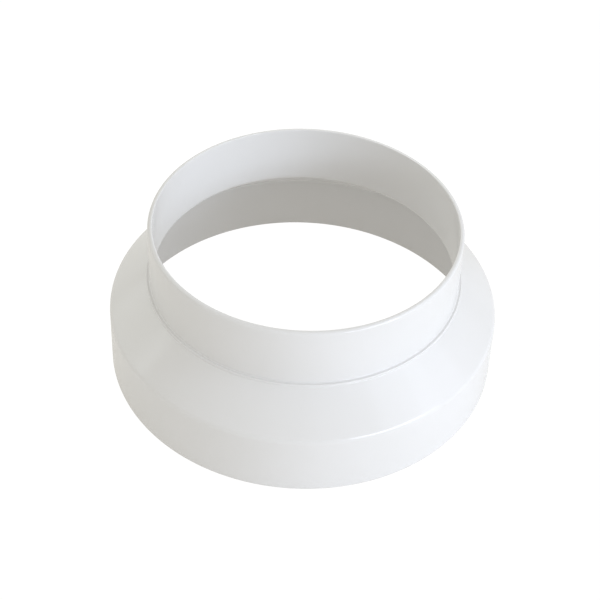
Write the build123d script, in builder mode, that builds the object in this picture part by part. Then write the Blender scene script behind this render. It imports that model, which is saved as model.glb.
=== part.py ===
"""Round push-fit duct reducer: a wide collar, a cone and a narrow spigot, moulded in one piece.

Millimetres, +Z up. The origin is the centre of the wide mouth, and +Z runs up the axis to the narrow spigot.
"""

import os

from build123d import *

# The wall has one thickness all over, as an injection moulding needs.
WALL = 1.5

# The wide collar slides over the end of a 125 mm duct.
SOCKET_RADIUS = 62.6
COLLAR_HEIGHT = 21.0

# The narrow spigot slides into a 100 mm duct, whose end stops on the ledge of a low ring on top of the cone.
SPIGOT_RADIUS = 49.9
SPIGOT_LENGTH = 20.35
LEDGE_WIDTH = 1.35
LEDGE_HEIGHT = 33.0
RING_HEIGHT = 0.85

# Roundings of the edges, from the wide mouth up the outside and down the inside.
MOUTH_ROUND = 0.3
COLLAR_EDGE_ROUND = 2.6
RING_FOOT_ROUND = 0.35
LEDGE_EDGE_ROUND = 0.35
SPIGOT_ROOT_ROUND = 0.45
RIM_OUTER_ROUND = 0.8
RIM_INNER_ROUND = 0.3
THROAT_ROUND = 2.4
SOCKET_END_ROUND = 1.5

# Radii and levels of the outside. The steepness is how much the cone climbs for each millimetre that it narrows.
collar_radius = SOCKET_RADIUS + WALL
ring_radius = SPIGOT_RADIUS + LEDGE_WIDTH
cone_top_height = LEDGE_HEIGHT - RING_HEIGHT
rim_height = LEDGE_HEIGHT + SPIGOT_LENGTH
steepness = (cone_top_height - COLLAR_HEIGHT) / (collar_radius - ring_radius)

# Radii and levels of the inside. The inner cone is parallel to the outer one, one wall away square to both, which
# is a drop of more than one wall measured straight down.
drop = WALL * (1 + steepness**2) ** 0.5
bore_radius = SPIGOT_RADIUS - WALL
throat_height = COLLAR_HEIGHT + steepness * (collar_radius - bore_radius) - drop
socket_end_height = COLLAR_HEIGHT + steepness * (collar_radius - SOCKET_RADIUS) - drop

# Corners of the half section as (radius, height, rounding), in order around the wall.
corners = [
    (SOCKET_RADIUS, 0, MOUTH_ROUND),
    (collar_radius, 0, MOUTH_ROUND),
    (collar_radius, COLLAR_HEIGHT, COLLAR_EDGE_ROUND),
    (ring_radius, cone_top_height, RING_FOOT_ROUND),
    (ring_radius, LEDGE_HEIGHT, LEDGE_EDGE_ROUND),
    (SPIGOT_RADIUS, LEDGE_HEIGHT, SPIGOT_ROOT_ROUND),
    (SPIGOT_RADIUS, rim_height, RIM_OUTER_ROUND),
    (bore_radius, rim_height, RIM_INNER_ROUND),
    (bore_radius, throat_height, THROAT_ROUND),
    (SOCKET_RADIUS, socket_end_height, SOCKET_END_ROUND),
]

with BuildPart() as reducer_body:
    with BuildSketch(Plane.XZ) as half_section:
        with BuildLine():
            Polyline([(radius, height) for radius, height, rounding in corners], close=True)
        make_face()
        for radius, height, rounding in corners:
            corner = half_section.vertices().sort_by_distance((radius, height))[0]
            fillet(corner, radius=rounding)
    revolve(axis=Axis.Z)
reducer_body.part.label = "reducer_body"

os.makedirs("parts", exist_ok=True)
export_step(reducer_body.part, "parts/reducer_body.step")
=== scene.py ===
import math

import bpy
import numpy as np
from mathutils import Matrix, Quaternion, Vector


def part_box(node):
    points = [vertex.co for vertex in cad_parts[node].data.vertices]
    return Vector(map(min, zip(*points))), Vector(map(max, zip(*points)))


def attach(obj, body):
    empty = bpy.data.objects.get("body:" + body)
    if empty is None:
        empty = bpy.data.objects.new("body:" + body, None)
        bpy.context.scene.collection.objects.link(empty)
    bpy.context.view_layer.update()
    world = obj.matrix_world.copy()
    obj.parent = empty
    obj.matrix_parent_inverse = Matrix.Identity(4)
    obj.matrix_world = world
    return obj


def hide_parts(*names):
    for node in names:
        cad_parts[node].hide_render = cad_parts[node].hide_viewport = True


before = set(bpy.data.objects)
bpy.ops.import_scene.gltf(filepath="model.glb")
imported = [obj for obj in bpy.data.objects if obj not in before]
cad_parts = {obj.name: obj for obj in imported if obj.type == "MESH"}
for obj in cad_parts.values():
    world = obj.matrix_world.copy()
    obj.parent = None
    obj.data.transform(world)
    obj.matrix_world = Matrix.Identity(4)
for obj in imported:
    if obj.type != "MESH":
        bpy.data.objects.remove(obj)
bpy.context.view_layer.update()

bl_info = {
    "name": "Duct reducer",
    "version": (1, 0, 0),
    "blender": (4, 5, 0),
    "location": "3D View > Sidebar > Reducer",
    "description": "Makes a white push-fit duct reducer, its plastic and a small studio around it",
    "category": "Object",
}

BODY_NODE = "reducer_body"
NODE_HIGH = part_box(BODY_NODE)[1]

# Two sheets lie this far below the mouth, so that neither touches it or the other.
FLOOR_DROP = 0.0002
CARD_DROP = 0.0001

# The middle part of a noise's range, where most of its values lie.
NOISE_LOW, NOISE_HIGH = 0.3, 0.7

# The camera's sensor in millimetres, and the nearest that it sees in metres.
SENSOR_WIDTH = 36
CLIP_START = 0.01

# Softboxes: name, turn and elevation in degrees, width and height in metres, power in watts and the tint.
# Turn 0 is the front and 90 the right.
SOFTBOXES = (
    ("front_key", 45, 15, 0.8, 0.3, 6.4, "key_tint"),
    ("low_key", 62, 10, 0.6, 0.5, 2.2, "key_tint"),
    ("high_key", 75, 35, 1.0, 0.9, 2.9, "key_tint"),
    ("streak_key", 75, 35, 0.15, 0.6, 1.1, "key_tint"),
    ("back_fill", 180, 20, 0.9, 0.9, 2.9, "fill_tint"),
    ("high_fill", 250, 40, 0.9, 0.9, 1.7, "fill_tint"),
    ("low_fill", 250, 15, 0.9, 0.6, 1.0, "fill_tint"),
)


# Properties


def length(name, description, default):
    """A size in metres, shown in the scene's own units."""
    return bpy.props.FloatProperty(
        name=name, description=description, default=default, min=0.0, precision=5, unit="LENGTH"
    )


def angle(name, description, degrees):
    """An angle, kept in radians and shown in degrees."""
    return bpy.props.FloatProperty(
        name=name, description=description, default=math.radians(degrees), unit="ROTATION"
    )


def share(name, description, default):
    """A plain number from 0 to 1."""
    return bpy.props.FloatProperty(
        name=name, description=description, default=default, min=0.0, max=1.0, subtype="FACTOR"
    )


def colour(name, description, default):
    """A linear colour without alpha."""
    return bpy.props.FloatVectorProperty(
        name=name, description=description, default=default, size=3, min=0.0, max=1.0, subtype="COLOR"
    )


def number(name, description, default):
    """A plain number that isn't negative."""
    return bpy.props.FloatProperty(name=name, description=description, default=default, min=0.0)


def count(name, description, default):
    """A whole number of rows or segments."""
    return bpy.props.IntProperty(name=name, description=description, default=default, min=3)


class ReducerSizes(bpy.types.PropertyGroup):
    """Sizes of the moulding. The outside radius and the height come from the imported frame."""

    mouth_radius: length("Mouth radius", "Outside radius of the wide collar at its mouth", NODE_HIGH[0])
    collar_draft: length("Collar draft", "How much narrower the collar is where it meets the cone", 0.0005)
    collar_height: length("Collar height", "Height at which the cone would meet the collar", 0.0210)
    shoulder_radius: length("Shoulder radius", "Outside radius of the ledge that stops the duct", 0.05125)
    shoulder_height: length("Shoulder height", "Height of the ledge above the wide mouth", 0.0330)
    ring_height: length("Ring height", "How far the ledge's upright edge stands above the cone", 0.00085)
    spigot_radius: length("Spigot radius", "Outside radius of the narrow spigot at its rim", 0.0499)
    spigot_draft: length("Spigot draft", "How much wider the spigot is where it meets the ledge", 0.0003)
    rim_height: length("Height", "Height of the rim above the wide mouth", NODE_HIGH[2])
    wall: length("Wall", "Thickness of the wall", 0.0015)
    throat_height: length("Throat height", "Height at which the bore would meet the cone's inside", 0.03264)
    mouth_round: length("Mouth rounding", "Both edges of the wide mouth", 0.0003)
    collar_round: length("Collar rounding", "Outside edge from the collar to the cone", 0.0026)
    ring_round: length("Ring rounding", "Inner corner from the cone to the ledge's upright edge", 0.00035)
    shoulder_round: length("Shoulder rounding", "Edge from the upright edge to the ledge", 0.00035)
    root_round: length("Root rounding", "Inner corner from the ledge to the spigot", 0.00045)
    rim_round: length("Rim rounding", "Outside edge of the narrow rim", 0.001)
    rim_inner_round: length("Inner rim rounding", "Inside edge of the narrow rim", 0.0003)
    throat_round: length("Throat rounding", "Inside edge from the spigot to the cone", 0.0024)
    socket_round: length("Socket rounding", "Inside corner from the cone to the collar", 0.0015)
    arc_rows: count("Rows in a rounding", "Rows of faces around each rounded edge", 10)
    run_rows: count("Rows between roundings", "Rows of faces along each straight stretch", 5)
    segments: count("Segments", "Faces around the axis", 384)


class PlasticFinish(bpy.types.PropertyGroup):
    """Look of the white plastic. A scale is how many features of a noise lie along a metre."""

    light_tone: colour("Light tone", "Colour of most of the surface", (0.755, 0.755, 0.755))
    dark_tone: colour("Dark tone", "Colour of the faint clouds in it", (0.735, 0.735, 0.73))
    cloud_scale: number("Cloud scale", "Scale of the clouds", 28)
    glossy: share("Glossiest", "Roughness of the glossiest patches", 0.12)
    matt: share("Mattest", "Roughness of the dullest patches", 0.22)
    gloss_scale: number("Gloss scale", "Scale of the patches of gloss", 45)
    ripple_scale: number("Ripple scale", "Scale of the slow ripple of the walls", 60)
    ripple_depth: length("Ripple depth", "Height of the slow ripple", 0.00008)
    ripple_strength: share("Ripple strength", "How much the slow ripple turns the light", 0.5)
    skin_scale: number("Skin scale", "Scale of the fine skin", 900)
    skin_depth: length("Skin depth", "Height of the fine skin", 0.00002)
    skin_strength: share("Skin strength", "How much the fine skin turns the light", 0.3)


class StudioSetup(bpy.types.PropertyGroup):
    """Floor, lights and camera."""

    floor_size: length("Floor size", "Side of the square floor", 8.0)
    floor_tone: colour("Floor tone", "Colour of the floor", (0.1, 0.1, 0.1))
    floor_glow: share("Floor glow", "Light of the floor's own", 0.96)
    card_tone: colour("Card tone", "Colour of the card that lights the part from below", (0.5, 0.5, 0.5))
    card_glow: share("Card glow", "Light of the card's own", 0.36)
    room_light: share("Room light", "Even light from all round", 0.652)
    room_tint: colour("Room tint", "Colour of the even light and of the card's", (1.0, 0.96, 0.885))
    lamp_aim: length("Lamp aim", "Height that the lamps point at", 0.03)
    key_tint: colour("Key tint", "Colour of the lamps on the right", (0.78, 0.855, 1.0))
    fill_tint: colour("Fill tint", "Colour of the lamps behind and on the left", (0.90, 0.98, 1.0))
    lamp_distance: length("Lamp distance", "From the part to each lamp", 1.3)
    lens: bpy.props.FloatProperty(
        name="Lens", description="Focal length on a 36 mm sensor", default=78.5, min=1.0, unit="CAMERA"
    )
    distance: length("Distance", "From the camera to the point it looks at", 0.4353)
    elevation: angle("Elevation", "Height of the camera above the floor, as an angle", 43.55)
    azimuth: angle("Azimuth", "Turn of the camera round the reducer from its front", 0.23)
    roll: angle("Roll", "Turn of the camera about its line of sight", 2.42)
    aim_side: bpy.props.FloatProperty(
        name="Aim side", description="Sideways place of the point looked at", default=-0.00097, unit="LENGTH"
    )
    aim_height: length("Aim height", "Height of the point looked at", 0.01925)


# Shapes


def rounded_outline(corners, roundings, arc_rows, run_rows):
    """Points of a closed outline with rounded corners.

    With u and v the unit vectors from a corner to its two neighbours and h half the angle between them, the
    arc of radius p starts p / tan(h) along u, ends p / tan(h) along v and has its centre p / sin(h) along
    u + v. A point at share s of the arc is the centre plus (sin((1 - s) t) a + sin(s t) b) / sin(t), with a
    and b from the centre to the arc's ends and t = pi - 2 h the arc's angle. Straight runs join each arc's end
    to the next arc's start.
    """
    to_last = np.roll(corners, 1, axis=0) - corners
    to_next = np.roll(corners, -1, axis=0) - corners
    to_last /= np.linalg.norm(to_last, axis=1, keepdims=True)
    to_next /= np.linalg.norm(to_next, axis=1, keepdims=True)
    half = 0.5 * np.arccos((to_last * to_next).sum(axis=1, keepdims=True))
    middle = to_last + to_next
    middle /= np.linalg.norm(middle, axis=1, keepdims=True)
    rounding = roundings[:, None]
    centre = corners + middle * rounding / np.sin(half)
    start = corners + to_last * rounding / np.tan(half)
    end = corners + to_next * rounding / np.tan(half)
    sweep = (np.pi - 2 * half)[:, :, None]
    along = np.linspace(0, 1, arc_rows + 1)[None, :, None]
    from_start = np.sin((1 - along) * sweep) * (start - centre)[:, None]
    from_end = np.sin(along * sweep) * (end - centre)[:, None]
    arcs = centre[:, None] + (from_start + from_end) / np.sin(sweep)
    along = run_shares(run_rows)[None, :, None]
    runs = (1 - along) * end[:, None] + along * np.roll(start, -1, axis=0)[:, None]
    return np.concatenate([arcs, runs], axis=1).reshape(-1, 2)


def run_shares(rows):
    """Places along a straight run, (1 - cos(pi s)) / 2 for even steps of s, crowded towards its ends."""
    return (1 - np.cos(np.pi * np.linspace(0, 1, rows + 2)[1:-1])) / 2


def turned_surface(name, outline, segments):
    """Mesh of a closed outline of (radius, height) points turned about the Z axis.

    A point of the outline at turn a goes to (radius cos(a), radius sin(a), height). Both directions close on
    themselves, so the mesh has no border, and an outline that runs anticlockwise gives outward faces.
    """
    turn = np.linspace(0, 2 * np.pi, segments, endpoint=False)
    radius, height = outline[:, :1], outline[:, 1:]
    level = np.broadcast_to(height, (len(outline), segments))
    points = np.stack([radius * np.cos(turn), radius * np.sin(turn), level], axis=2)
    rows = len(outline)
    row, column = np.meshgrid(np.arange(rows), np.arange(segments), indexing="ij")
    next_row, next_column = (row + 1) % rows, (column + 1) % segments
    quads = np.stack(
        [
            row * segments + column,
            row * segments + next_column,
            next_row * segments + next_column,
            next_row * segments + column,
        ],
        axis=2,
    ).reshape(-1, 4)
    mesh = bpy.data.meshes.new(name)
    mesh.from_pydata(points.reshape(-1, 3), [], quads)
    mesh.polygons.foreach_set("use_smooth", np.ones(len(quads), bool))
    mesh.update()
    return mesh


def reducer_outline(sizes):
    """Wall section of the reducer, anticlockwise: from the mouth's inner edge up the outside and down again.

    Outside and inside of the collar and of the spigot are parallel, one wall apart. The cone's inside starts
    at the throat and falls as steeply as its outside does, so it ends at the socket's wall.
    """
    collar_top = sizes.mouth_radius - sizes.collar_draft
    root = sizes.spigot_radius + sizes.spigot_draft
    cone_top = sizes.shoulder_height - sizes.ring_height
    steepness = (cone_top - sizes.collar_height) / (collar_top - sizes.shoulder_radius)
    socket_end = collar_top - sizes.wall
    throat = root - sizes.wall
    table = np.array(
        [
            (sizes.mouth_radius - sizes.wall, 0, sizes.mouth_round),
            (sizes.mouth_radius, 0, sizes.mouth_round),
            (collar_top, sizes.collar_height, sizes.collar_round),
            (sizes.shoulder_radius, cone_top, sizes.ring_round),
            (sizes.shoulder_radius, sizes.shoulder_height, sizes.shoulder_round),
            (root, sizes.shoulder_height, sizes.root_round),
            (sizes.spigot_radius, sizes.rim_height, sizes.rim_round),
            (sizes.spigot_radius - sizes.wall, sizes.rim_height, sizes.rim_inner_round),
            (throat, sizes.throat_height, sizes.throat_round),
            (socket_end, sizes.throat_height - steepness * (socket_end - throat), sizes.socket_round),
        ]
    )
    return rounded_outline(table[:, :2], table[:, 2], sizes.arc_rows, sizes.run_rows)


# Materials


def new_material(name):
    """An empty node material with its output and one Principled shader."""
    material = bpy.data.materials.new(name)
    material.use_nodes = True
    nodes, links = material.node_tree.nodes, material.node_tree.links
    nodes.clear()
    output = nodes.new("ShaderNodeOutputMaterial")
    shader = nodes.new("ShaderNodeBsdfPrincipled")
    links.new(shader.outputs["BSDF"], output.inputs["Surface"])
    return material, nodes, links, shader


def noise(nodes, links, place, scale, detail):
    """Noise from 0 to 1 over the object's own coordinates, in features of about 1 / scale metres."""
    node = nodes.new("ShaderNodeTexNoise")
    node.inputs["Scale"].default_value = scale
    node.inputs["Detail"].default_value = detail
    links.new(place, node.inputs["Vector"])
    return node.outputs["Fac"]


def spread(nodes, links, value, low, high):
    """The middle part of a noise's range carried onto the range low to high, and held at its ends."""
    node = nodes.new("ShaderNodeMapRange")
    node.inputs["From Min"].default_value = NOISE_LOW
    node.inputs["From Max"].default_value = NOISE_HIGH
    node.inputs["To Min"].default_value = low
    node.inputs["To Max"].default_value = high
    links.new(value, node.inputs["Value"])
    return node.outputs["Result"]


def relief(nodes, links, height, depth, strength):
    """Bump node that raises the surface by up to the depth where the height is 1."""
    node = nodes.new("ShaderNodeBump")
    node.inputs["Strength"].default_value = strength
    node.inputs["Distance"].default_value = depth
    links.new(height, node.inputs["Height"])
    return node


def white_plastic(finish):
    """Moulded white plastic.

    The colour has faint clouds. The gloss is uneven, in patches a few centimetres wide with finer ones in
    them. The relief is a slow ripple, as moulded walls have, under a fine skin.
    """
    material, nodes, links, shader = new_material("moulded_white_plastic")
    place = nodes.new("ShaderNodeTexCoord").outputs["Object"]

    clouds = noise(nodes, links, place, finish.cloud_scale, detail=4)
    tones = nodes.new("ShaderNodeMix")
    tones.data_type = "RGBA"
    tones.inputs["A"].default_value = (*finish.dark_tone, 1)
    tones.inputs["B"].default_value = (*finish.light_tone, 1)
    links.new(spread(nodes, links, clouds, 0, 1), tones.inputs["Factor"])
    links.new(tones.outputs["Result"], shader.inputs["Base Color"])

    patches = noise(nodes, links, place, finish.gloss_scale, detail=6)
    links.new(spread(nodes, links, patches, finish.glossy, finish.matt), shader.inputs["Roughness"])

    waves = noise(nodes, links, place, finish.ripple_scale, detail=1)
    ripple = relief(nodes, links, waves, finish.ripple_depth, finish.ripple_strength)
    grain = noise(nodes, links, place, finish.skin_scale, detail=3)
    skin = relief(nodes, links, grain, finish.skin_depth, finish.skin_strength)
    links.new(ripple.outputs["Normal"], skin.inputs["Normal"])
    links.new(skin.outputs["Normal"], shader.inputs["Normal"])
    return material


def glowing_sheet(name, tone, light, glow):
    """Plain matt sheet with a light of its own, as a light table has."""
    material, nodes, links, shader = new_material(name)
    shader.inputs["Base Color"].default_value = (*tone, 1)
    shader.inputs["Roughness"].default_value = 1.0
    shader.inputs["Specular IOR Level"].default_value = 0.0
    shader.inputs["Emission Color"].default_value = (*light, 1)
    shader.inputs["Emission Strength"].default_value = glow
    return material


def direction(turn, elevation):
    """Unit vector seen from the middle: turn 0 is the front, -Y, and a quarter turn is the right, +X."""
    return Vector(
        (math.sin(turn) * math.cos(elevation), -math.cos(turn) * math.cos(elevation), math.sin(elevation))
    )


# Operators


class REDUCER_OT_body(bpy.types.Operator):
    """Make the moulded body of the reducer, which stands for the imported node"""

    bl_idname = "reducer.body"
    bl_label = "Body"

    def execute(self, context):
        sizes = context.scene.reducer_sizes
        mesh = turned_surface("moulded_body", reducer_outline(sizes), sizes.segments)
        mesh.materials.append(white_plastic(context.scene.reducer_finish))
        body = bpy.data.objects.new("moulded_body", mesh)
        context.scene.collection.objects.link(body)
        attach(body, "root")
        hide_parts(BODY_NODE)
        return {"FINISHED"}


class REDUCER_OT_studio(bpy.types.Operator):
    """Make the floor, the lights and the camera"""

    bl_idname = "reducer.studio"
    bl_label = "Studio"

    def execute(self, context):
        studio = context.scene.reducer_studio
        self.make_floor(context, studio)
        self.make_lights(context, studio)
        self.make_camera(context, studio)
        context.scene.view_settings.view_transform = "Standard"
        return {"FINISHED"}

    def make_floor(self, context, studio):
        """Two square sheets a hair below the mouth.

        The floor is the white one that shows, and its light is kept off the reducer. The bounce card above it
        doesn't show, and lights the reducer from below, as a greyer floor would.
        """
        half = studio.floor_size / 2
        outline = [(-half, -half), (half, -half), (half, half), (-half, half)]
        sheets = {}
        for name, drop, tone, light, glow in (
            ("floor", FLOOR_DROP, studio.floor_tone, (1, 1, 1), studio.floor_glow),
            ("bounce_card", CARD_DROP, studio.card_tone, studio.room_tint, studio.card_glow),
        ):
            mesh = bpy.data.meshes.new(name)
            mesh.from_pydata([(x, y, -drop) for x, y in outline], [], [(0, 1, 2, 3)])
            mesh.materials.append(glowing_sheet(name, tone, light, glow))
            sheets[name] = bpy.data.objects.new(name, mesh)
            context.scene.collection.objects.link(sheets[name])
        floor, card = sheets.values()
        floor.visible_diffuse = floor.visible_glossy = floor.visible_shadow = False
        card.visible_camera = False

    def make_lights(self, context, studio):
        """Softboxes round the reducer, all as far from it, in an evenly lit room."""
        world = bpy.data.worlds.new("room")
        world.use_nodes = True
        background = world.node_tree.nodes["Background"]
        background.inputs["Color"].default_value = (*studio.room_tint, 1)
        background.inputs["Strength"].default_value = studio.room_light
        context.scene.world = world
        middle = Vector((0, 0, studio.lamp_aim))
        for name, turn, elevation, width, height, power, tint in SOFTBOXES:
            lamp = bpy.data.lights.new(name, "AREA")
            lamp.shape = "RECTANGLE"
            lamp.size, lamp.size_y = width, height
            lamp.energy, lamp.color = power, getattr(studio, tint)
            softbox = bpy.data.objects.new(name, lamp)
            away = direction(math.radians(turn), math.radians(elevation))
            softbox.location = middle + away * studio.lamp_distance
            softbox.rotation_mode = "QUATERNION"
            softbox.rotation_quaternion = away.to_track_quat("Z", "Y")
            context.scene.collection.objects.link(softbox)

    def make_camera(self, context, studio):
        """A camera in front of the reducer, above it and turned a little about its line of sight."""
        aim = Vector((studio.aim_side, 0, studio.aim_height))
        back = direction(studio.azimuth, studio.elevation)
        lens = bpy.data.cameras.new("camera")
        lens.lens = studio.lens
        lens.sensor_width = SENSOR_WIDTH
        lens.clip_start = CLIP_START
        camera = bpy.data.objects.new("camera", lens)
        camera.location = aim + back * studio.distance
        camera.rotation_mode = "QUATERNION"
        camera.rotation_quaternion = (-back).to_track_quat("-Z", "Y") @ Quaternion((0, 0, 1), studio.roll)
        context.scene.collection.objects.link(camera)
        context.scene.camera = camera


class REDUCER_PT_sidebar(bpy.types.Panel):
    """Lists the parts that can be made, and their sizes"""

    bl_idname = "REDUCER_PT_sidebar"
    bl_label = "Duct reducer"
    bl_space_type = "VIEW_3D"
    bl_region_type = "UI"
    bl_category = "Reducer"

    def draw(self, context):
        for group, operator in PANEL_ROWS:
            box = self.layout.box()
            settings = getattr(context.scene, group)
            for key in settings.bl_rna.properties.keys():
                if key not in ("rna_type", "name"):
                    box.prop(settings, key)
            if operator:
                box.operator(operator)


PANEL_ROWS = (
    ("reducer_sizes", "reducer.body"),
    ("reducer_finish", None),
    ("reducer_studio", "reducer.studio"),
)
GROUPS = {
    "reducer_sizes": ReducerSizes,
    "reducer_finish": PlasticFinish,
    "reducer_studio": StudioSetup,
}
CLASSES = (*GROUPS.values(), REDUCER_OT_body, REDUCER_OT_studio, REDUCER_PT_sidebar)


def register():
    for cls in CLASSES:
        bpy.utils.register_class(cls)
    for name, group in GROUPS.items():
        setattr(bpy.types.Scene, name, bpy.props.PointerProperty(type=group))


def unregister():
    for name in GROUPS:
        delattr(bpy.types.Scene, name)
    for cls in reversed(CLASSES):
        bpy.utils.unregister_class(cls)


def main():
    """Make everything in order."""
    register()
    bpy.ops.reducer.body()
    bpy.ops.reducer.studio()


if __name__ == "__main__":
    main()
